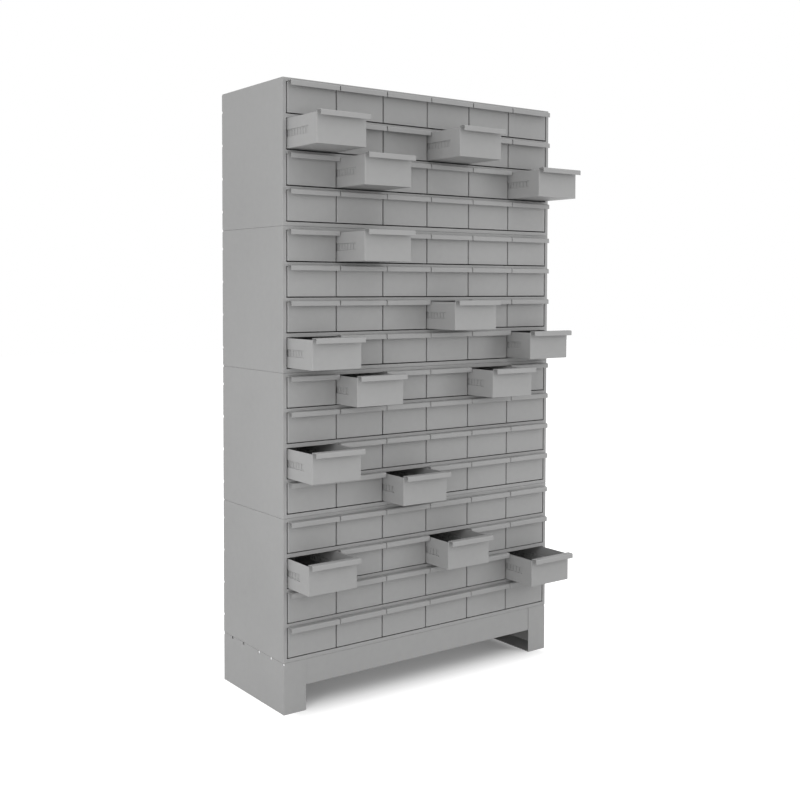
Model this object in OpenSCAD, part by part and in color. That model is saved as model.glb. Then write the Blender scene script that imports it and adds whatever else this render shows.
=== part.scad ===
// Parts bin cabinet: four identical sheet-steel cabinets stacked on a base stand.
// Each cabinet holds a grid of small folded drawers that slide on side runners.
// X runs across the fronts, Y runs from the fronts to the back, Z is up.
// The origin lies on the floor, below the middle of the whole object's box.

/* [Cabinet] */
// Width of a cabinet over its side panels
cabinet_w = 866.8; // [700:0.1:1000]
// Depth of a cabinet from the front face to the rear face
cabinet_d = 311.2; // [240:0.1:450]
// Height of one cabinet
cabinet_h = 352.4; // [300:0.1:480]
// Sheet thickness of the case
case_sheet = 1.0; // [0.8:0.1:1.5]
// Width of the flange folded round the front of the case
case_flange = 9.9; // [8:0.1:14]
// Width of the flange folded round the rear of the case
rear_flange = 12; // [8:0.5:20]
// Sheet thickness of the back panel
back_sheet = 0.8; // [0.6:0.1:1.5]
// Radius of the holes punched on the rear bends
bend_hole_r = 3.2; // [2:0.1:4]

/* [Rails and partitions] */
// Height of the front strip of a cross rail
rail_h = 9.5; // [7:0.1:14]
// Depth of a cross rail
rail_d = 14; // [8:0.5:25]
// Sheet thickness of the cross rails
rail_sheet = 0.9; // [0.7:0.1:1.5]
// Sheet thickness of the partitions
partition_sheet = 1.0; // [0.7:0.1:1.4]
// Width of the flanges folded along the top and bottom of a partition
partition_flange = 8; // [5:0.5:12]

/* [Drawers] */
// Sheet thickness of the drawers
drawer_sheet = 0.8; // [0.6:0.1:1.2]
// Gap between two drawers, and between a drawer and the case flange
drawer_gap = 3.0; // [2.4:0.1:5]
// Gap below a drawer front
bottom_gap = 2.8; // [1.5:0.1:5]
// Gap between the top of a drawer's side and the rail above it
top_gap = 1.8; // [1:0.1:4]
// How far a closed drawer's front laps over the rail above it
front_lap = 2.4; // [1:0.1:4]
// Gap behind a closed drawer's front, where it stops against the rail
front_gap = 0.3; // [0.2:0.1:0.6]
// Free space behind a closed drawer
rear_space = 20; // [10:0.5:40]
// How far the pull stands out from the drawer's front
pull_reach = 18; // [12:0.5:25]
// Height of the pull's turned-down edge
pull_drop = 13; // [8:0.5:20]
// Height of the hem folded inside the pull's lower edge
pull_hem = 3; // [2:0.5:5]

/* [Runners] */
// Height of the channel pressed into a drawer's side
band_h = 17; // [12:0.5:24]
// Depth of the channel pressed into a drawer's side
band_depth = 3.0; // [2:0.1:4.5]
// Distance from the case's front face to the start of the channel
band_start = 38; // [25:0.5:60]
// Sheet thickness of the runners
runner_sheet = 0.9; // [0.6:0.1:1.2]
// Gap above a runner, on which the drawer hangs
carry_gap = 0.3; // [0.2:0.1:0.5]
// Gap below a runner
under_gap = 1.2; // [0.5:0.1:2.5]
// Gap between a runner's face and the bottom of the channel
face_gap = 0.5; // [0.3:0.1:1]
// Gap between a runner's front end and the channel's closed end
stop_gap = 2; // [1:0.5:5]
// Width of the slots for cross dividers
slot_w = 1.6; // [1:0.1:2.5]
// Distance between the slots for cross dividers
slot_pitch = 12.7; // [10:0.1:30]
// Metal left between a slot and the channel's edges
slot_margin = 1.5; // [0.5:0.1:3]

/* [Base] */
// Height of the base stand
base_h = 127; // [90:1:200]
// Sheet thickness of the base stand
base_sheet = 1.5; // [1:0.1:3]
// Width of the corner legs folded from the side panels
leg_w = 63.5; // [50:0.5:90]
// Height of the aprons at the front and rear
apron_h = 63.5; // [40:0.5:80]
// Width of the flanges that the lowest cabinet rests on
base_flange = 40; // [32:0.5:50]
// Width of the flange folded inwards along the foot of each side
foot_flange = 63.5; // [20:0.5:80]
// Radius of the holes along the base's side bends
side_hole_r = 2.9; // [1.5:0.1:4]
// Distance of those holes' centres below the top of the base
side_hole_drop = 3.2; // [3:0.1:8]
// Distance between the two holes of a pair
side_hole_pair = 60; // [40:1:70]
// Distance from the front corner to the middle of the front pair
front_pair_inset = 92; // [60:1:110]
// Distance from the rear corner to the middle of the rear pair
rear_pair_inset = 79; // [60:1:110]

/* [Bolts] */
// Thread diameter of the joining bolts
bolt_d = 6; // [5:0.5:8]
// Clearance of the bolts in the holes of the cabinets' tops, on the diameter
bolt_clearance = 0.6; // [0.2:0.1:1]
// Wider clearance in the cabinets' bottoms and the base, which lets them line up
bolt_play = 1.2; // [1:0.1:2]
// Width across the flats of the bolt heads and nuts
hex_w = 10; // [9:0.5:13]
// Height of the bolt heads
head_h = 4; // [3:0.1:5]
// Height of the nuts
nut_h = 5; // [4:0.1:5.5]
// Length of thread that stands out of a nut
thread_out = 1.5; // [0:0.1:2]
// Distance of the bolts from the side panels' outer faces
bolt_inset_x = 22; // [18:0.5:28]
// Distance of the bolts from the front and rear faces
bolt_inset_y = 75; // [60:1:100]

/* [Hidden] */
$fn = 32;
paint = [0.60, 0.60, 0.60];
zinc = [0.72, 0.72, 0.70];

// The stack: cabinets, rows and drawers are counted from the top and the left
cabinets = 4;
rows = 4;
columns = 6;

// Drawers that stand open: row in the stack, column, distance pulled out
open_drawers = [
    [2, 1, 132], [2, 4, 132], [3, 2, 121], [3, 6, 121], [5, 2, 121],
    [7, 4, 116], [8, 1, 112], [8, 6, 92], [9, 2, 90], [9, 5, 101],
    [11, 1, 111], [12, 3, 88], [14, 1, 94], [14, 4, 92], [15, 6, 104]
];

// Small overlap that lets a cut pass through a face, and the overrun of a hole's tool
cut = 0.01;
overrun = 1;

// Heights in the grid
opening_h = (cabinet_h - 2 * case_flange - (rows - 1) * rail_h) / rows;
row_pitch = opening_h + rail_h;
side_h = opening_h - bottom_gap - top_gap;
front_h = opening_h - bottom_gap + front_lap;
band_low = (side_h - band_h) / 2;

// Widths in the grid
drawer_w = (cabinet_w - 2 * case_flange - (columns + 1) * drawer_gap) / columns;
column_pitch = drawer_w + drawer_gap;
tray_d = cabinet_d - case_sheet - back_sheet - rear_space;

// Depths: the object's box is centred on Y = 0 with the drawers as they stand
largest_pull = max([for (d = open_drawers) d[2]]);
front_out = front_gap + drawer_sheet;
front_y = (largest_pull + front_out + pull_reach - cabinet_d) / 2;
rear_y = front_y + cabinet_d;
back_y = rear_y - case_sheet - back_sheet;

// Bolts
top_hole_r = (bolt_d + bolt_clearance) / 2;
bottom_hole_r = (bolt_d + bolt_play) / 2;
bolt_x = cabinet_w / 2 - bolt_inset_x;
bolt_ys = [front_y + bolt_inset_y, rear_y - bolt_inset_y];

function is_open(row, column) =
    len([for (d = open_drawers) if (d[0] == row && d[1] == column) d]) > 0;
function cabinet_z(k) = base_h + (cabinets - k) * cabinet_h;
function cabinet_of(row) = floor((row - 1) / rows) + 1;
function opening_top(row) =
    cabinet_z(cabinet_of(row)) + cabinet_h - case_flange
    - ((row - 1) % rows) * row_pitch;
function drawer_z(row) = opening_top(row) - opening_h + bottom_gap;
function column_x(column) = (column - (columns + 1) / 2) * column_pitch;
function two_digits(n) = n < 10 ? str("0", n) : str(n);
function drawer_name(d) = str("drawer_row_", two_digits(d[0]), "_column_", d[1]);
function row_name(row) = str("closed_drawers_row_", two_digits(row));

// A box between its lowest and highest corners
module block(low, high) {
    translate(low) cube(high - low);
}

// A profile drawn across X and up Z, run along Y
module run_y(y0, y1) {
    translate([0, y1, 0]) rotate([90, 0, 0]) linear_extrude(y1 - y0) children();
}

// The same piece on both sides of X = 0
module both_sides() {
    children();
    mirror([1, 0, 0]) children();
}

// A rectangular frame of one wall width, standing on Z = 0
module frame_profile(w, h, wall) {
    difference() {
        translate([-w / 2, 0]) square([w, h]);
        translate([wall - w / 2, wall]) square([w - 2 * wall, h - 2 * wall]);
    }
}

// A hole centred on a vertical bend: half in the side panel, half in its flange
module bend_hole(y, z, r, sheet, flange_side) {
    both_sides() translate([cabinet_w / 2, y, z]) {
        translate([cut - sheet, 0, 0])
            rotate([0, 90, 0]) cylinder(r = r, h = sheet + overrun);
        translate([0, flange_side > 0 ? -overrun : -sheet, 0])
            rotate([-90, 0, 0]) cylinder(r = r, h = sheet + overrun);
    }
}

// Bolt holes through one horizontal sheet
module bolt_holes(z, sheet, r) {
    both_sides() for (y = bolt_ys)
        translate([bolt_x, y, z - overrun]) cylinder(r = r, h = sheet + 2 * overrun);
}

// Case: one sheet wrapped round top, sides and bottom, with flanges at both ends
module case_shell(k) {
    color(paint) translate([0, 0, cabinet_z(k)]) difference() {
        union() {
            run_y(front_y, rear_y) frame_profile(cabinet_w, cabinet_h, case_sheet);
            run_y(front_y, front_y + case_sheet)
                frame_profile(cabinet_w, cabinet_h, case_flange);
            run_y(rear_y - case_sheet, rear_y)
                frame_profile(cabinet_w, cabinet_h, rear_flange);
        }
        for (row = [1:rows])
            bend_hole(rear_y, drawer_z(row) - cabinet_z(1) + side_h / 2,
                      bend_hole_r, case_sheet, -1);
        for (z = [0, cabinet_h]) bend_hole(rear_y, z, bend_hole_r, case_sheet, -1);
        bolt_holes(0, case_sheet, bottom_hole_r);
        bolt_holes(cabinet_h - case_sheet, case_sheet, top_hole_r);
    }
}

// Back panel: a flat sheet welded inside the case's rear flange
module back_panel(k) {
    inner_x = cabinet_w / 2 - case_sheet;
    color(paint) translate([0, 0, cabinet_z(k)])
        block([-inner_x, back_y, case_sheet],
              [inner_x, rear_y - case_sheet, cabinet_h - case_sheet]);
}

// Cross rail: a channel with its open side down, between two rows of drawers
module cross_rail() {
    mouth_x = cabinet_w / 2 - case_flange;
    inner_x = cabinet_w / 2 - case_sheet;
    flange_back = front_y + case_sheet;
    block([-mouth_x, front_y, 0], [mouth_x, front_y + rail_sheet, rail_h]);
    block([-mouth_x, front_y, rail_h - rail_sheet], [mouth_x, front_y + rail_d, rail_h]);
    block([-inner_x, flange_back, rail_h - rail_sheet],
          [inner_x, front_y + rail_d, rail_h]);
    block([-inner_x, front_y + rail_d - rail_sheet, 0],
          [inner_x, front_y + rail_d, rail_h]);
}

module cross_rails(k) {
    first_row = (k - 1) * rows + 1;
    color(paint) for (row = [first_row + 1:first_row + rows - 1])
        translate([0, 0, opening_top(row)]) cross_rail();
}

// Partition: an upright sheet with a flange at its foot and its head
module partition() {
    low = case_sheet;
    high = cabinet_h - case_sheet;
    left = -partition_sheet / 2;
    block([left, front_y + rail_d, low], [-left, back_y, high]);
    for (z = [low, high - partition_sheet])
        block([left, front_y + rail_d, z],
              [left + partition_flange, back_y, z + partition_sheet]);
}

module partitions(k) {
    color(paint) for (column = [1:columns - 1])
        translate([column_x(column) + column_pitch / 2, 0, cabinet_z(k)]) partition();
}

// Runner: a channel that stands on a wall and reaches into a drawer's side
module runner(reach) {
    h = band_h - carry_gap - under_gap;
    t = runner_sheet;
    run_y(front_y + band_start + drawer_sheet + stop_gap, back_y)
        polygon([[0, 0], [reach, 0], [reach, h], [0, h],
                 [0, h - t], [reach - t, h - t], [reach - t, t], [0, t]]);
}

module drawer_runners(k) {
    first_row = (k - 1) * rows + 1;
    to_band = band_depth - face_gap;
    wall_reach = (drawer_gap - partition_sheet) / 2 + to_band;
    side_reach = case_flange + drawer_gap - case_sheet + to_band;
    color(paint) for (row = [first_row:first_row + rows - 1])
        translate([0, 0, drawer_z(row) + band_low + under_gap]) {
            both_sides() translate([case_sheet - cabinet_w / 2, 0, 0]) runner(side_reach);
            for (column = [1:columns - 1])
                translate([column_x(column) + column_pitch / 2, 0, 0])
                    both_sides() translate([partition_sheet / 2, 0, 0]) runner(wall_reach);
        }
}

// Section of a drawer's side, from its outer face inwards, with the pressed channel
module side_section() {
    t = drawer_sheet;
    low = band_low;
    high = band_low + band_h;
    polygon([[0, 0], [t, 0], [t, low - t], [band_depth + t, low - t],
             [band_depth + t, high + t], [t, high + t], [t, side_h], [0, side_h],
             [0, high], [band_depth, high], [band_depth, low], [0, low]]);
}

// Side of a drawer, drawn at X = 0 with its inner face towards +X
module drawer_side(slotted) {
    t = drawer_sheet;
    difference() {
        union() {
            block([0, -front_out, 0], [t, band_start + t, side_h]);
            block([0, band_start, band_low - t],
                  [band_depth + t, band_start + t, band_low + band_h + t]);
            run_y(band_start, tray_d) side_section();
        }
        block([-overrun, band_start + t, band_low],
              [band_depth, tray_d + overrun, band_low + band_h]);
        if (slotted) for (y = [band_start + slot_pitch:slot_pitch:tray_d - slot_pitch])
            block([band_depth - overrun, y, band_low + slot_margin],
                  [band_depth + t + overrun, y + slot_w, band_low + band_h - slot_margin]);
    }
}

// Wrapper of a drawer: front, pull and both sides, folded from one sheet
module drawer_wrapper(slotted) {
    half = drawer_w / 2;
    t = drawer_sheet;
    face = -front_out;
    tip = face - pull_reach;
    block([-half, face, 0], [half, face + t, front_h]);
    block([-half, tip, front_h - t], [half, face + t, front_h]);
    block([-half, tip, front_h - pull_drop], [half, tip + t, front_h]);
    block([-half, tip, front_h - pull_drop], [half, tip + 2 * t, front_h - pull_drop + pull_hem]);
    both_sides() translate([-half, 0, 0]) drawer_side(slotted);
}

// Floor of a drawer, welded between the sides
module drawer_floor() {
    inner = drawer_w / 2 - drawer_sheet;
    block([-inner, -front_gap, 0], [inner, tray_d - drawer_sheet, drawer_sheet]);
}

// Rear wall of a drawer, notched round the channels in the sides
module drawer_back() {
    inner = drawer_w / 2 - drawer_sheet;
    difference() {
        block([-inner, tray_d - drawer_sheet, 0], [inner, tray_d, side_h]);
        both_sides()
            block([inner - band_depth, tray_d - 2 * drawer_sheet, band_low - drawer_sheet],
                  [inner + overrun, tray_d + overrun, band_low + band_h + drawer_sheet]);
    }
}

// A drawer at its place in the grid, pulled out by a distance
module drawer(row, column, pull, slotted) {
    color(paint) translate([column_x(column), front_y - pull, drawer_z(row)]) {
        drawer_wrapper(slotted);
        drawer_floor();
        drawer_back();
    }
}

// Every drawer of one row that stands closed. Their divider slots are hidden between
// the partitions and are left out, which keeps the model small.
module closed_drawers(row) {
    for (column = [1:columns]) if (!is_open(row, column)) drawer(row, column, 0, false);
}

// Side of the base: a panel with a leg folded at each end and flanges at top and foot
module base_side() {
    outer = cabinet_w / 2;
    inner = outer - base_sheet;
    pairs = [front_y + front_pair_inset, rear_y - rear_pair_inset];
    difference() {
        union() {
            block([inner, front_y, 0], [outer, rear_y, base_h]);
            block([outer - leg_w, front_y, 0], [outer, front_y + base_sheet, base_h]);
            block([outer - leg_w, rear_y - base_sheet, 0], [outer, rear_y, base_h]);
            block([outer - base_flange, front_y + 2 * base_sheet, base_h - base_sheet],
                  [outer, rear_y - 2 * base_sheet, base_h]);
            block([outer - foot_flange, front_y + 2 * base_sheet, 0],
                  [outer, rear_y - 2 * base_sheet, base_sheet]);
        }
        for (pair = pairs, y = [-side_hole_pair / 2, side_hole_pair / 2])
            translate([inner - cut, pair + y, base_h - side_hole_drop])
                rotate([0, 90, 0]) cylinder(r = side_hole_r, h = base_sheet + overrun);
        bend_hole(front_y, base_h, side_hole_r, base_sheet, 1);
        bend_hole(rear_y, base_h, side_hole_r, base_sheet, -1);
        bolt_holes(base_h - base_sheet, base_sheet, bottom_hole_r);
    }
}

module base_side_left() {
    color(paint) mirror([1, 0, 0]) base_side();
}

module base_side_right() {
    color(paint) base_side();
}

// Apron: a sheet welded behind the legs, with a flange under the cabinet
module base_apron() {
    half = cabinet_w / 2 - base_sheet;
    rest = cabinet_w / 2 - base_flange;
    low = base_h - apron_h;
    block([-half, base_sheet, low], [half, 2 * base_sheet, base_h]);
    block([-rest, base_sheet, base_h - base_sheet], [rest, base_flange, base_h]);
}

module base_apron_front() {
    color(paint) translate([0, front_y, 0]) base_apron();
}

module base_apron_rear() {
    color(paint) translate([0, rear_y, 0]) mirror([0, 1, 0]) base_apron();
}

// Hexagonal prism across the flats
module hexagon(h) {
    cylinder(r = hex_w / 2 / cos(30), h = h, $fn = 6);
}

// Places of the bolts: one set under each cabinet, through the sheet below it
module at_bolts() {
    for (k = [1:cabinets]) both_sides() for (y = bolt_ys)
        translate([bolt_x, y, cabinet_z(k)]) {
            $lower_sheet = k == cabinets ? base_sheet : case_sheet;
            children();
        }
}

// Bolts: heads inside the upper cabinet, threads through both sheets
module joining_bolts() {
    color(zinc) at_bolts() {
        translate([0, 0, case_sheet]) hexagon(head_h);
        translate([0, 0, -$lower_sheet - nut_h - thread_out])
            cylinder(d = bolt_d, h = $lower_sheet + nut_h + thread_out + case_sheet + cut);
    }
}

// Nuts: below the lower sheet
module joining_nuts() {
    color(zinc) at_bolts() translate([0, 0, -$lower_sheet - nut_h]) difference() {
        hexagon(nut_h);
        translate([0, 0, -overrun])
            cylinder(d = bolt_d + 2 * cut, h = nut_h + 2 * overrun);
    }
}

for (k = [1:cabinets]) {
    case_shell(k);
    back_panel(k);
    cross_rails(k);
    partitions(k);
    drawer_runners(k);
}
base_side_left();
base_side_right();
base_apron_front();
base_apron_rear();
joining_bolts();
joining_nuts();
for (d = open_drawers)
    drawer(d[0], d[1], d[2], true);
for (row = [1:cabinets * rows])
    closed_drawers(row);
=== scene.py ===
"""A tall stack of four steel drawer cabinets on a base stand, dressed for rendering."""

import math

import bmesh
import bpy
from mathutils import Matrix, Vector


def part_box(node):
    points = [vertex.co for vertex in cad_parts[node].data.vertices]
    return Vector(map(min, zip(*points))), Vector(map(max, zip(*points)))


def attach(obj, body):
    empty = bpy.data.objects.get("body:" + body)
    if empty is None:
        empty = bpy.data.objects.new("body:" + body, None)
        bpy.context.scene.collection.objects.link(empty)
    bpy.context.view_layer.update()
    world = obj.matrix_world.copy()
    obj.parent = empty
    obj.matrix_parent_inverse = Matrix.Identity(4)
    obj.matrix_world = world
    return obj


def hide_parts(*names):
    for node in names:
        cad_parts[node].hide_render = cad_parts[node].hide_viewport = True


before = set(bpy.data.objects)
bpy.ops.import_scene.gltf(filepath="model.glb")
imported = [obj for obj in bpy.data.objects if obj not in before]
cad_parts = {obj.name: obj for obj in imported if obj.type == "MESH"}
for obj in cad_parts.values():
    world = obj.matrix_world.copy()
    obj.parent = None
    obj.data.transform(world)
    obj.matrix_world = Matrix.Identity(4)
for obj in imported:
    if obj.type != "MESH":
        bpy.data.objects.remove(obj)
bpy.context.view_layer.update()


# ---------------------------------------------------------------- base stand: sides
# Each side of the stand is one sheet of 1.5 mm steel. Both of its ends are folded round
# into wide corner legs, its top edge into a flange that carries the lowest cabinet and
# its foot into another. It is pierced along the top bend, relieved at the corners.

MM = 0.001


def link(tree, source, target):
    tree.links.new(source, target)


def noise(tree, scale, detail):
    """A noise texture on the object's own coordinates, in features per metre."""
    place = tree.nodes.new("ShaderNodeTexCoord")
    node = tree.nodes.new("ShaderNodeTexNoise")
    node.inputs["Scale"].default_value = scale
    node.inputs["Detail"].default_value = detail
    link(tree, place.outputs["Object"], node.inputs["Vector"])
    return node.outputs["Fac"]


def remap(tree, source, start, end, low=0.0, high=1.0, curve="LINEAR"):
    """Maps one range onto another, and holds the value beyond its ends."""
    node = tree.nodes.new("ShaderNodeMapRange")
    node.interpolation_type = curve
    node.inputs["From Min"].default_value = start
    node.inputs["From Max"].default_value = end
    node.inputs["To Min"].default_value = low
    node.inputs["To Max"].default_value = high
    link(tree, source, node.inputs["Value"])
    return node.outputs["Result"]


def spread(tree, source, low, high):
    """Maps the middle of a noise, where most of its values lie, onto a range."""
    return remap(tree, source, 0.3, 0.7, low, high)


def arithmetic(tree, operation, *sources):
    node = tree.nodes.new("ShaderNodeMath")
    node.operation = operation
    for source, socket in zip(sources, node.inputs):
        link(tree, source, socket)
    return node.outputs[0]


def new_finish(name):
    material = bpy.data.materials.new(name)
    material.use_nodes = True
    return material, material.node_tree, material.node_tree.nodes["Principled BSDF"]


def baked_enamel():
    """Grey baked enamel: satin, uneven by a few hundredths in broad clouds and a fine
    mottle, with an orange-peel skin."""
    material, tree, shader = new_finish("grey baked enamel")
    cloud = spread(tree, noise(tree, 2.2, 2.0), 0.965, 1.035)
    mottle = spread(tree, noise(tree, 60.0, 3.0), 0.985, 1.015)
    tone = arithmetic(tree, "MULTIPLY", cloud, mottle)
    colour = tree.nodes.new("ShaderNodeMix")
    colour.data_type = "RGBA"
    colour.inputs["A"].default_value = (0.0, 0.0, 0.0, 1.0)
    colour.inputs["B"].default_value = (0.343, 0.343, 0.342, 1.0)
    colour.clamp_factor = False
    link(tree, tone, colour.inputs["Factor"])
    link(tree, colour.outputs["Result"], shader.inputs["Base Color"])
    link(tree, spread(tree, noise(tree, 9.0, 4.0), 0.46, 0.56), shader.inputs["Roughness"])
    skin = tree.nodes.new("ShaderNodeBump")
    skin.inputs["Strength"].default_value = 0.12
    skin.inputs["Distance"].default_value = 0.02 * MM
    link(tree, noise(tree, 700.0, 1.0), skin.inputs["Height"])
    link(tree, skin.outputs["Normal"], shader.inputs["Normal"])
    shader.inputs["Specular IOR Level"].default_value = 0.35
    return material


enamel = baked_enamel()


# Lengths within SLACK of each other are the same one, a face looks along an axis if its
# normal's part there is above FACING, and faces make a fold above FOLD_ANGLE
SLACK = 0.02 * MM
FACING = 0.99
FOLD_ANGLE = math.radians(40)


def is_near(value, target):
    return abs(value - target) < SLACK


def fold_out(bm, edges, run):
    """Folds a new flange from free edges and returns its far edges."""
    made = bmesh.ops.extrude_edge_only(bm, edges=edges)["geom"]
    far = [item for item in made if isinstance(item, bmesh.types.BMVert)]
    bmesh.ops.translate(bm, verts=far, vec=run)
    return [item for item in made
            if isinstance(item, bmesh.types.BMEdge)
            and all(vert in far for vert in item.verts)]


def bent_strip(bm, points, run):
    """Pulls a chain of points along a straight run into a strip with sharp folds."""
    verts = [bm.verts.new(point) for point in points]
    edges = [bm.edges.new(pair) for pair in zip(verts, verts[1:])]
    fold_out(bm, edges, run)


def round_folds(bm, edges, radius, segments=3):
    """Gives sharp folds the radius that a press brake leaves."""
    bmesh.ops.bevel(bm, geom=edges, offset=radius, offset_type="OFFSET",
                    segments=segments, profile=0.5, affect="EDGES", material=-1,
                    clamp_overlap=True)


def folds(bm):
    """Every edge where two faces meet at an angle."""
    return [edge for edge in bm.edges
            if len(edge.link_faces) == 2 and edge.calc_face_angle() > FOLD_ANGLE]


def score(bm, faces, point, normal):
    """Divides some faces along a plane."""
    faces = list(faces)
    edges = {edge for face in faces for edge in face.edges}
    verts = {vert for face in faces for vert in face.verts}
    bmesh.ops.bisect_plane(bm, geom=[*faces, *edges, *verts], dist=0.001 * MM,
                           plane_co=point, plane_no=normal)


def turn_outwards(bm, middle):
    """Turns every face away from the middle of the piece."""
    bmesh.ops.recalc_face_normals(bm, faces=bm.faces)
    middle = Vector(middle)
    outward = sum((face.calc_center_median() - middle).dot(face.normal) * face.calc_area()
                  for face in bm.faces)
    if outward < 0:
        bmesh.ops.reverse_faces(bm, faces=bm.faces)


def mesh_from(bm, name):
    mesh = bpy.data.meshes.new(name)
    bm.to_mesh(mesh)
    bm.free()
    return mesh


def steel_sheet(name, mesh, gauge):
    """An object whose wall grows inwards from the faces of a mesh."""
    piece = bpy.data.objects.new(name, mesh)
    bpy.context.scene.collection.objects.link(piece)
    mesh.materials.append(enamel)
    wall = piece.modifiers.new("gauge", "SOLIDIFY")
    wall.thickness = gauge
    wall.offset = -1.0
    wall.use_even_offset = True
    return piece


def round_tool(bm, centre, axis, radius, gauge):
    """A round punch that goes well through a sheet whose outer face holds its centre."""
    turn = Vector((0, 0, 1)).rotation_difference(Vector(axis)).to_matrix().to_4x4()
    bmesh.ops.create_cone(bm, cap_ends=True, segments=24, radius1=radius, radius2=radius,
                          depth=4 * gauge, matrix=Matrix.Translation(centre) @ turn)


def ball_tool(bm, centre, radius):
    """A ball that opens both faces of a bend at once."""
    bmesh.ops.create_uvsphere(bm, u_segments=20, v_segments=12, radius=radius,
                              matrix=Matrix.Translation(centre))


def pierce(piece, tools):
    """Takes the tools out of the finished wall, and makes the result the mesh."""
    punch = bpy.data.objects.new("punch", mesh_from(tools, "punch"))
    bpy.context.scene.collection.objects.link(punch)
    cut = piece.modifiers.new("holes", "BOOLEAN")
    cut.operation = "DIFFERENCE"
    cut.solver = "MANIFOLD"
    cut.object = punch
    seen = piece.evaluated_get(bpy.context.evaluated_depsgraph_get())
    piece.data = bpy.data.meshes.new_from_object(seen)
    piece.modifiers.clear()
    bpy.data.objects.remove(punch)


def stands_for(piece, node, body):
    """The piece takes a node's place and moves with its body."""
    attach(piece, body)
    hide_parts(node)


STAND_GAUGE = 1.5 * MM
STAND_CORNER = 2.6 * MM
STAND_BEND = 1.6 * MM
LEG_WIDTH = 63.5 * MM
STAND_FLANGE = 40 * MM
FOOT_FLANGE = 63.5 * MM
RELIEF_RADIUS = 3.9 * MM
BOLT_INSET_X = 22 * MM
BOLT_INSET_Y = 75 * MM
WIDE_BOLT_HOLE = 3.6 * MM
TOP_HOLE_DROP = 3.2 * MM
# Distances of the top bend's holes from the front corner, or below 0 from the rear one
TOP_HOLE_INSETS = (62 * MM, 122 * MM, -109 * MM, -49 * MM)


def stand_side(side, low, high):
    """One side of the stand; side is -1 for the left one and 1 for the right one."""
    outer = high.x if side > 0 else low.x
    tip = outer - side * LEG_WIDTH
    front, rear, top = low.y, high.y, high.z
    flange_start, flange_end = front + 2 * STAND_GAUGE, rear - 2 * STAND_GAUGE
    bm = bmesh.new()
    bent_strip(bm, [(tip, front, 0), (outer, front, 0), (outer, rear, 0), (tip, rear, 0)],
               (0, 0, top))
    round_folds(bm, folds(bm), STAND_CORNER, segments=4)
    for y in (flange_start, flange_end):
        panel = [face for face in bm.faces if abs(face.normal.x) > FACING]
        score(bm, panel, (0, y, 0), (0, 1, 0))
    for height, width in ((top, STAND_FLANGE), (0, FOOT_FLANGE)):
        rim = [edge for edge in bm.edges
               if all(is_near(vert.co.z, height) and is_near(vert.co.x, outer)
                      and flange_start - SLACK < vert.co.y < flange_end + SLACK
                      for vert in edge.verts)]
        fold_out(bm, rim, (-side * width, 0, 0))
        round_folds(bm, rim, STAND_BEND)
    turn_outwards(bm, (0, (front + rear) / 2, top / 2))
    name = "stand_side_left" if side < 0 else "stand_side_right"
    piece = steel_sheet(name, mesh_from(bm, name), STAND_GAUGE)

    tools = bmesh.new()
    for y in (front, rear):
        ball_tool(tools, (outer, y, top - TOP_HOLE_DROP), RELIEF_RADIUS)
    for inset in TOP_HOLE_INSETS:
        y = (front if inset > 0 else rear) + inset
        round_tool(tools, (outer, y, top - TOP_HOLE_DROP), (1, 0, 0),
                   RELIEF_RADIUS, STAND_GAUGE)
    for y in (front + BOLT_INSET_Y, rear - BOLT_INSET_Y):
        round_tool(tools, (outer - side * BOLT_INSET_X, y, top), (0, 0, 1),
                   WIDE_BOLT_HOLE, STAND_GAUGE)
    pierce(piece, tools)
    return piece


for side, node in ((-1, "base_side_left"), (1, "base_side_right")):
    stands_for(stand_side(side, *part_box(node)), node, "cabinet")


# --------------------------------------------------------------- base stand: aprons
# The aprons are strips of the same sheet, spot-welded behind the front legs and before
# the rear ones. Each has a flange folded over at the top, under the cabinet, and is as
# long as the space between the flanges of the two sides.

def stand_apron(name, low, high, inwards):
    """An apron between the legs; inwards is 1 if its flange points to the back."""
    face = low.y if inwards > 0 else high.y
    back = high.y if inwards > 0 else low.y
    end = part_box("base_side_right")[1].x - STAND_FLANGE
    bm = bmesh.new()
    bent_strip(bm, [(-end, face, low.z), (-end, face, high.z), (-end, back, high.z)],
               (2 * end, 0, 0))
    round_folds(bm, folds(bm), STAND_BEND)
    turn_outwards(bm, (0, (face + back) / 2, (low.z + high.z) / 2))
    return steel_sheet(name, mesh_from(bm, name), STAND_GAUGE)


for name, node, inwards in (("stand_apron_front", "base_apron_front", 1),
                            ("stand_apron_rear", "base_apron_rear", -1)):
    stands_for(stand_apron(name, *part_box(node), inwards), node, "cabinet")


# ------------------------------------------------------------------- cabinet cases
# A case is one 1 mm sheet wrapped round the top, both sides and the bottom, with a
# flange folded round its front and rear mouths. Its bends are relieved by round holes
# at the rear, at the seams and at the height of each row's runners.

CABINETS = 4
ROWS = 4
CASE_GAUGE = 1.0 * MM
CASE_CORNER = 1.4 * MM
FRONT_FLANGE = 9.9 * MM
REAR_FLANGE = 12 * MM
BOLT_HOLE = 3.3 * MM
BEND_HOLE = 4.0 * MM
RAIL_HEIGHT = 9.5 * MM
BOTTOM_GAP = 2.8 * MM
TOP_GAP = 1.8 * MM

case_low, case_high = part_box("case_shell_1")
CASE_HEIGHT = case_high.z - case_low.z
OPENING = (CASE_HEIGHT - 2 * FRONT_FLANGE - (ROWS - 1) * RAIL_HEIGHT) / ROWS
ROW_PITCH = OPENING + RAIL_HEIGHT
SIDE_HEIGHT = OPENING - BOTTOM_GAP - TOP_GAP


def opening_floor(case_top, row):
    """Height of the bottom of a row's opening; the rows of a case count from its top."""
    return case_top - FRONT_FLANGE - row * ROW_PITCH - OPENING


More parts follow.
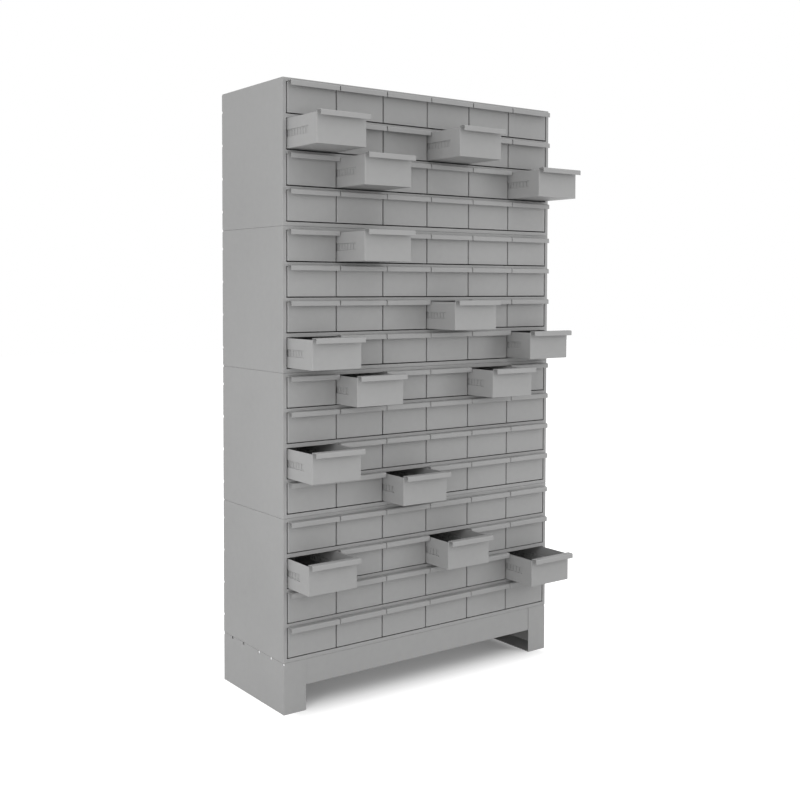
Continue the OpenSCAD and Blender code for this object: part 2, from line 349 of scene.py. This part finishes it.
def wrapped_case(name, low, high):
    """The case of one cabinet, open at the front and, inside its flange, at the rear."""
    middle = (low + high) / 2
    size = high - low
    bm = bmesh.new()
    bmesh.ops.create_cube(bm, size=1.0, matrix=Matrix.Translation(middle)
                          @ Matrix.Diagonal((*size, 1)))
    corners = list(bm.edges)
    for direction, flange in ((-1, FRONT_FLANGE), (1, REAR_FLANGE)):
        mouth = [face for face in bm.faces if face.normal.y * direction > FACING]
        bmesh.ops.inset_region(bm, faces=mouth, thickness=flange, use_even_offset=True,
                               use_boundary=True)
        bmesh.ops.delete(bm, geom=mouth, context="FACES")
    round_folds(bm, corners, CASE_CORNER)
    turn_outwards(bm, middle)
    piece = steel_sheet(name, mesh_from(bm, name), CASE_GAUGE)

    tools = bmesh.new()
    heights = [opening_floor(high.z, row) + BOTTOM_GAP + SIDE_HEIGHT / 2
               for row in range(ROWS)]
    for x in (low.x, high.x):
        for z in (low.z, *heights, high.z):
            ball_tool(tools, (x, high.y, z), BEND_HOLE)
    for x in (low.x + BOLT_INSET_X, high.x - BOLT_INSET_X):
        for y in (low.y + BOLT_INSET_Y, high.y - BOLT_INSET_Y):
            round_tool(tools, (x, y, high.z), (0, 0, 1), BOLT_HOLE, CASE_GAUGE)
            round_tool(tools, (x, y, low.z), (0, 0, 1), WIDE_BOLT_HOLE, CASE_GAUGE)
    pierce(piece, tools)
    return piece


for number in range(1, CABINETS + 1):
    node = f"case_shell_{number}"
    stands_for(wrapped_case(f"case_{number}", *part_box(node)), node, "cabinet")


# -------------------------------------------------------------------- cross rails
# A cross rail is a small channel with its open side down. Its front strip shows
# between two rows of drawers, and its wider rear part is welded behind the flanges.

RAIL_GAUGE = 0.9 * MM
RAIL_BEND = 0.95 * MM


def cross_rail(bm, top, low, high):
    """Adds the outer faces of one rail, whose top lies at a height."""
    front, back = low.y, high.y
    shoulder = front + CASE_GAUGE
    mouth = case_high.x - FRONT_FLANGE
    rail = bmesh.new()
    foot = top - RAIL_HEIGHT
    bent_strip(rail, [(low.x, front, foot), (low.x, front, top), (low.x, back, top),
                      (low.x, back, foot)], (high.x - low.x, 0, 0))
    for x in (-mouth, mouth):
        score(rail, rail.faces, (x, 0, 0), (1, 0, 0))
    score(rail, rail.faces, (0, shoulder, 0), (0, 1, 0))
    ends = [face for face in rail.faces
            if abs(face.calc_center_median().x) > mouth
            and face.calc_center_median().y < shoulder]
    bmesh.ops.delete(rail, geom=ends, context="FACES")
    round_folds(rail, folds(rail), RAIL_BEND)
    turn_outwards(rail, (0, (front + back) / 2, foot))
    bm.from_mesh(mesh_from(rail, "rail"))


for number in range(1, CABINETS + 1):
    node = f"cross_rails_{number}"
    low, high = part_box(node)
    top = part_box(f"case_shell_{number}")[1].z
    bm = bmesh.new()
    for row in range(ROWS - 1):
        cross_rail(bm, opening_floor(top, row), low, high)
    name = f"rails_{number}"
    stands_for(steel_sheet(name, mesh_from(bm, name), RAIL_GAUGE), node, "cabinet")


# --------------------------------------------------------------------- back panels
# A back panel is a flat sheet, welded inside the rear flange of its case. Its sides end
# clear of the round holes on the rear bends.

def flat_sheet(corners):
    """One flat rectangle, from its four corners."""
    bm = bmesh.new()
    bm.faces.new([bm.verts.new(corner) for corner in corners])
    return bm


for number in range(1, CABINETS + 1):
    node = f"back_panel_{number}"
    low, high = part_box(node)
    left, right = low.x + BEND_HOLE, high.x - BEND_HOLE
    sheet = flat_sheet([(left, high.y, low.z), (right, high.y, low.z),
                        (right, high.y, high.z), (left, high.y, high.z)])
    turn_outwards(sheet, (0, low.y, 0))
    name = f"back_sheet_{number}"
    stands_for(steel_sheet(name, mesh_from(sheet, name), high.y - low.y), node, "cabinet")


# -------------------------------------------------------------- partitions, runners
# The partitions are flanged sheets between the columns, and the runners small channels
# welded to them and to the case. They are made of enamelled sheet too, and keep the
# shapes they were drawn with.

for kind in ("partitions", "drawer_runners"):
    for number in range(1, CABINETS + 1):
        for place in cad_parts[f"{kind}_{number}"].material_slots:
            place.material = enamel


# ------------------------------------------------------------------ bolts and nuts
# M6 screws of zinc-plated steel hold each cabinet to the one below it, and the lowest
# to the stand. Their hexagon heads lie inside the upper cabinet, and nuts clamp the two
# sheets from below.

def zinc_plate():
    """Bright zinc plate, slightly clouded, on small steel fasteners."""
    material, tree, shader = new_finish("zinc plate")
    colour = tree.nodes.new("ShaderNodeMix")
    colour.data_type = "RGBA"
    colour.inputs["A"].default_value = (0.46, 0.46, 0.45, 1.0)
    colour.inputs["B"].default_value = (0.60, 0.60, 0.57, 1.0)
    link(tree, spread(tree, noise(tree, 350.0, 3.0), 0.0, 1.0), colour.inputs["Factor"])
    link(tree, colour.outputs["Result"], shader.inputs["Base Color"])
    link(tree, spread(tree, noise(tree, 500.0, 2.0), 0.28, 0.42),
         shader.inputs["Roughness"])
    shader.inputs["Metallic"].default_value = 1.0
    return material


zinc = zinc_plate()
for node in ("joining_bolts", "joining_nuts"):
    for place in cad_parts[node].material_slots:
        place.material = zinc


# ------------------------------------------------------------------------- drawers
# A drawer is a tray of 0.8 mm steel. Its front, its two sides and the pull along its
# top are folded from one sheet; the floor and the rear wall are welded in. A channel
# pressed into each side rides on a runner and is slotted for cross dividers.

COLUMNS = 6
TRAY_GAUGE = 0.8 * MM
DRAWER_GAP = 3.0 * MM
FRONT_LAP = 2.4 * MM
FRONT_GAP = 0.3 * MM
FRONT_OUT = FRONT_GAP + TRAY_GAUGE
PULL_REACH = 18 * MM
PULL_DROP = 13 * MM
PULL_HEM = 3 * MM
PULL_NECK = 0.5 * MM
HEM_GAP = 0.3 * MM
HEM_RADIUS = 0.45 * HEM_GAP
TRAY_DEPTH = 289.4 * MM
CHANNEL_HEIGHT = 17 * MM
CHANNEL_DEPTH = 3.0 * MM
CHANNEL_START = 38 * MM
SLOT_WIDTH = 1.6 * MM
SLOT_PITCH = 12.7 * MM
SLOT_MARGIN = 1.5 * MM
WRAP_RADIUS = 2.0 * MM
CREST_RADIUS = 0.9 * MM
BROW_RADIUS = 2.4 * MM
PRESS_RADIUS = 0.8 * MM

CASE_WIDTH = case_high.x - case_low.x
DRAWER_WIDTH = (CASE_WIDTH - 2 * FRONT_FLANGE - (COLUMNS + 1) * DRAWER_GAP) / COLUMNS
COLUMN_PITCH = DRAWER_WIDTH + DRAWER_GAP
FRONT_HEIGHT = OPENING - BOTTOM_GAP + FRONT_LAP
CHANNEL_LOW = (SIDE_HEIGHT - CHANNEL_HEIGHT) / 2
CHANNEL_HIGH = CHANNEL_LOW + CHANNEL_HEIGHT

# Which drawers stand open, as (row, column): distance pulled out in millimetres
OPEN_DRAWERS = {
    (2, 1): 132, (2, 4): 132, (3, 2): 121, (3, 6): 121, (5, 2): 121,
    (7, 4): 116, (8, 1): 112, (8, 6): 92, (9, 2): 90, (9, 5): 101,
    (11, 1): 111, (12, 3): 88, (14, 1): 94, (14, 4): 92, (15, 6): 104,
}


def wrapper():
    """Front, pull and sides of a drawer, as the outer face of the folded sheet."""
    half = DRAWER_WIDTH / 2
    bm = bmesh.new()
    bent_strip(bm, [(-half, TRAY_DEPTH, 0), (-half, -FRONT_OUT, 0),
                    (half, -FRONT_OUT, 0), (half, TRAY_DEPTH, 0)], (0, 0, SIDE_HEIGHT))
    round_folds(bm, folds(bm), WRAP_RADIUS, segments=4)

    # the pull: up, forward, down, and a hem back up inside. It folds towards the outer
    # face, so here the wall grows outwards and the faces lie a gauge further in.
    flat = half - WRAP_RADIUS
    brow = [edge for edge in bm.edges
            if all(is_near(vert.co.z, SIDE_HEIGHT) and is_near(vert.co.y, -FRONT_OUT)
                   and abs(vert.co.x) < flat + SLACK for vert in edge.verts)]
    shoulder = fold_out(bm, brow, (0, 0, PULL_NECK))
    for vert in {vert for edge in shoulder for vert in edge.verts}:
        vert.co.x *= half / flat
    rise = FRONT_HEIGHT - SIDE_HEIGHT - PULL_NECK - TRAY_GAUGE
    crest = fold_out(bm, shoulder, (0, 0, rise))
    lip = fold_out(bm, crest, (0, TRAY_GAUGE - PULL_REACH, 0))
    foot = fold_out(bm, lip, (0, 0, 2 * TRAY_GAUGE - PULL_DROP))
    hem = fold_out(bm, foot, (0, HEM_GAP, 0))
    fold_out(bm, hem, (0, 0, PULL_HEM - TRAY_GAUGE))
    round_folds(bm, crest, CREST_RADIUS, segments=4)
    round_folds(bm, lip, BROW_RADIUS, segments=5)
    round_folds(bm, [*foot, *hem], HEM_RADIUS, segments=2)
    return bm


def press_channels(bm):
    """Presses a channel into both sides and punches its divider slots."""
    half = DRAWER_WIDTH / 2

    def side_faces(depth=0.0):
        return [face for face in bm.faces if abs(face.normal.x) > FACING
                and is_near(abs(face.calc_center_median().x), half - depth)]

    score(bm, side_faces(), (0, CHANNEL_START, 0), (0, 1, 0))
    for z in (CHANNEL_LOW, CHANNEL_HIGH):
        rear = [face for face in side_faces()
                if face.calc_center_median().y > CHANNEL_START]
        score(bm, rear, (0, 0, z), (0, 0, 1))
    for side in (-1, 1):
        band = [face for face in side_faces()
                if face.calc_center_median().x * side > 0
                and face.calc_center_median().y > CHANNEL_START
                and CHANNEL_LOW < face.calc_center_median().z < CHANNEL_HIGH]
        made = bmesh.ops.extrude_face_region(bm, geom=band)["geom"]
        web = [item for item in made if isinstance(item, bmesh.types.BMVert)]
        bmesh.ops.translate(bm, verts=web, vec=(-side * CHANNEL_DEPTH, 0, 0))
        bmesh.ops.delete(bm, geom=band, context="FACES_ONLY")
    closed = [face for face in bm.faces
              if is_near(face.calc_center_median().y, TRAY_DEPTH)]
    bmesh.ops.delete(bm, geom=closed, context="FACES")
    walls = [edge for edge in folds(bm)
             if all(half - CHANNEL_DEPTH - SLACK < abs(vert.co.x) < half + SLACK
                    and vert.co.y > CHANNEL_START - SLACK for vert in edge.verts)]
    round_folds(bm, walls, PRESS_RADIUS, segments=2)

    for z in (CHANNEL_LOW + SLOT_MARGIN, CHANNEL_HIGH - SLOT_MARGIN):
        score(bm, side_faces(CHANNEL_DEPTH), (0, 0, z), (0, 0, 1))

    def between():
        return [face for face in side_faces(CHANNEL_DEPTH)
                if CHANNEL_LOW + SLOT_MARGIN < face.calc_center_median().z
                < CHANNEL_HIGH - SLOT_MARGIN]

    slots = int((TRAY_DEPTH - CHANNEL_START) / SLOT_PITCH - 1)
    starts = [CHANNEL_START + SLOT_PITCH * (number + 1) for number in range(slots)]
    for start in starts:
        for y in (start, start + SLOT_WIDTH):
            score(bm, between(), (0, y, 0), (0, 1, 0))
    open_slots = [face for face in between()
                  if any(start < face.calc_center_median().y < start + SLOT_WIDTH
                         for start in starts)]
    bmesh.ops.delete(bm, geom=open_slots, context="FACES")


def tray_mesh():
    """The whole drawer as faces without a wall, at its own origin."""
    middle = (0, TRAY_DEPTH / 2, SIDE_HEIGHT / 2)
    inner = DRAWER_WIDTH / 2 - TRAY_GAUGE
    tray = wrapper()
    press_channels(tray)
    turn_outwards(tray, middle)

    floor_front = TRAY_GAUGE - FRONT_OUT
    floor_back = TRAY_DEPTH - TRAY_GAUGE
    bottom = flat_sheet([(-inner, floor_front, 0), (inner, floor_front, 0),
                         (inner, floor_back, 0), (-inner, floor_back, 0)])
    turn_outwards(bottom, middle)
    tray.from_mesh(mesh_from(bottom, "floor"))

    back = flat_sheet([(-inner, TRAY_DEPTH, 0), (inner, TRAY_DEPTH, 0),
                       (inner, TRAY_DEPTH, SIDE_HEIGHT), (-inner, TRAY_DEPTH, SIDE_HEIGHT)])
    notch = inner - CHANNEL_DEPTH
    for x in (-notch, notch):
        score(back, back.faces, (x, 0, 0), (1, 0, 0))
    for z in (CHANNEL_LOW - TRAY_GAUGE, CHANNEL_HIGH + TRAY_GAUGE):
        score(back, back.faces, (0, 0, z), (0, 0, 1))
    notches = [face for face in back.faces
               if abs(face.calc_center_median().x) > notch
               and CHANNEL_LOW < face.calc_center_median().z < CHANNEL_HIGH]
    bmesh.ops.delete(back, geom=notches, context="FACES")
    turn_outwards(back, middle)
    tray.from_mesh(mesh_from(back, "back"))
    return mesh_from(tray, "tray")


tray = tray_mesh()
front_y = case_low.y


def drawer_place(row, column, pull):
    """Where a drawer's own origin lies; rows count from the top of the whole stack."""
    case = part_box(f"case_shell_{(row - 1) // ROWS + 1}")[1].z
    return Vector(((column - (COLUMNS + 1) / 2) * COLUMN_PITCH, front_y - pull,
                   opening_floor(case, (row - 1) % ROWS) + BOTTOM_GAP))


def set_of_drawers(name, places):
    """One object that holds a drawer at each place."""
    bm = bmesh.new()
    for place in places:
        first = len(bm.verts)
        bm.from_mesh(tray)
        bm.verts.ensure_lookup_table()
        bmesh.ops.translate(bm, verts=bm.verts[first:], vec=place)
    return steel_sheet(name, mesh_from(bm, name), TRAY_GAUGE)


for (row, column), pull in OPEN_DRAWERS.items():
    node = f"drawer_row_{row:02d}_column_{column}"
    piece = set_of_drawers(f"open_drawer_row_{row:02d}_column_{column}",
                           [drawer_place(row, column, pull * MM)])
    stands_for(piece, node, node)

for row in range(1, CABINETS * ROWS + 1):
    node = f"closed_drawers_row_{row:02d}"
    shut = [drawer_place(row, column, 0.0) for column in range(1, COLUMNS + 1)
            if (row, column) not in OPEN_DRAWERS]
    stands_for(set_of_drawers(f"shut_drawers_row_{row:02d}", shut), node, node)


# ------------------------------------------------------------------ floor and light
# A plain white floor in a white surround. Four soft lights stand at the front right, at
# the front left, beside the camera and above. The floor catches the stand's real shade,
# and its glow, seen directly, is dimmed to a painted shade under and near the stand
# and is white away from it.

# How far out from the stand's faces the floor's glow starts, and is full; nearer in,
# the dimmed glow is a painted shade
SIDE_FADE = (-100 * MM, 20 * MM)
FRONT_FADE = (-84 * MM, 106 * MM)
REAR_FADE = (-146 * MM, -41 * MM)
# The glow in the painted shade under the stand, and the full glow away from it
PAINTED_SHADE_GLOW, FULL_GLOW = 0.12, 0.80
FLOOR_REACH = 14.0
PAPER = (0.60, 0.60, 0.60, 1.0)
WHITE = (1.0, 1.0, 1.0, 1.0)
# The surround's strength, as light on the object and as a backdrop
SURROUND_LIGHT, SURROUND_SEEN = 0.82, 1.0


def seen_directly(tree):
    """1 for rays from the camera, from gloss and through glass, 0 for the rest."""
    path = tree.nodes.new("ShaderNodeLightPath")
    gloss = arithmetic(tree, "MAXIMUM", path.outputs["Is Glossy Ray"],
                       path.outputs["Is Transmission Ray"])
    return arithmetic(tree, "MAXIMUM", path.outputs["Is Camera Ray"], gloss)


def white_floor():
    """White paper that glows where it is seen, with a painted shade under the stand."""
    material = bpy.data.materials.new("white floor")
    material.use_nodes = True
    tree = material.node_tree
    tree.nodes.clear()

    low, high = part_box("base_side_left")
    place = tree.nodes.new("ShaderNodeSeparateXYZ")
    link(tree, tree.nodes.new("ShaderNodeTexCoord").outputs["Object"],
         place.inputs["Vector"])
    aside = arithmetic(tree, "ABSOLUTE", place.outputs["X"])
    fades = ((aside, [abs(low.x) + out for out in SIDE_FADE]),
             (place.outputs["Y"], [low.y - out for out in FRONT_FADE]),
             (place.outputs["Y"], [high.y + out for out in REAR_FADE]))
    sides, front, rear = (remap(tree, source, start, end, curve="SMOOTHSTEP")
                          for source, (start, end) in fades)
    ends = arithmetic(tree, "MAXIMUM", front, rear)
    away = arithmetic(tree, "MAXIMUM", sides, ends)
    # Painted shade: the floor's glow is dimmed under and near the stand
    glow = remap(tree, away, 0.0, 1.0, PAINTED_SHADE_GLOW, FULL_GLOW)
    emission = tree.nodes.new("ShaderNodeEmission")
    link(tree, arithmetic(tree, "MULTIPLY", glow, seen_directly(tree)),
         emission.inputs["Strength"])
    diffuse = tree.nodes.new("ShaderNodeBsdfDiffuse")
    diffuse.inputs["Color"].default_value = PAPER
    both = tree.nodes.new("ShaderNodeAddShader")
    link(tree, diffuse.outputs[0], both.inputs[0])
    link(tree, emission.outputs[0], both.inputs[1])
    output = tree.nodes.new("ShaderNodeOutputMaterial")
    link(tree, both.outputs[0], output.inputs["Surface"])
    return material


bm = bmesh.new()
bmesh.ops.create_grid(bm, x_segments=1, y_segments=1, size=FLOOR_REACH)
floor = bpy.data.objects.new("floor", mesh_from(bm, "floor"))
floor.data.materials.append(white_floor())
bpy.context.scene.collection.objects.link(floor)

world = bpy.data.worlds.new("surround")
bpy.context.scene.world = world
world.use_nodes = True
backdrop = world.node_tree.nodes["Background"]
backdrop.inputs["Color"].default_value = WHITE
level = remap(world.node_tree, seen_directly(world.node_tree), 0.0, 1.0,
              SURROUND_LIGHT, SURROUND_SEEN)
link(world.node_tree, level, backdrop.inputs["Strength"])


def soft_light(name, place, target, width, height, watts):
    """A rectangular lamp at a place, turned to a target; lengths in metres."""
    data = bpy.data.lights.new(name, "AREA")
    data.shape = "RECTANGLE"
    data.size, data.size_y = width, height
    data.energy = watts
    lamp = bpy.data.objects.new(name, data)
    lamp.location = place
    lamp.rotation_euler = (Vector(target) - Vector(place)).to_track_quat("-Z", "Y").to_euler()
    bpy.context.scene.collection.objects.link(lamp)


soft_light("front right", (1.6, -1.9, 1.1), (0.1, 0.0, 0.75), 0.8, 1.4, watts=9.0)
soft_light("front left", (-2.1, -1.2, 0.65), (-0.43, 0.0, 0.65), 0.6, 2.4, watts=20.0)
soft_light("beside the camera", (-2.0, -2.8, 0.95), (0.0, 0.0, 0.6), 0.9, 0.9, watts=3.5)
soft_light("above", (0.0, -0.6, 3.2), (0.0, 0.0, 0.8), 2.0, 2.0, watts=6.0)


# -------------------------------------------------------------------------- camera
# The camera stands to the front left of the stack, a little above its middle, and looks
# nearly level. A lens shift brings the stack to the middle of the picture.

camera = bpy.data.objects.new("camera", bpy.data.cameras.new("camera"))
camera.data.sensor_width = 36.0
camera.data.lens = 49.82
camera.data.shift_y = -0.085
camera.data.clip_start, camera.data.clip_end = 0.05, 60.0
eye = Vector((-1.7705, -2.3771, 1.0387))
look = Vector((0.5908, 0.8058, -0.0405)).normalized()
upright = Vector((0.022, 0.0341, 0.9992))
right = look.cross(upright).normalized()
turn = Matrix((right, right.cross(look), -look)).transposed()
camera.matrix_world = Matrix.Translation(eye) @ turn.to_4x4()
bpy.context.scene.collection.objects.link(camera)
bpy.context.scene.camera = camera
bpy.context.scene.view_settings.view_transform = "Standard"
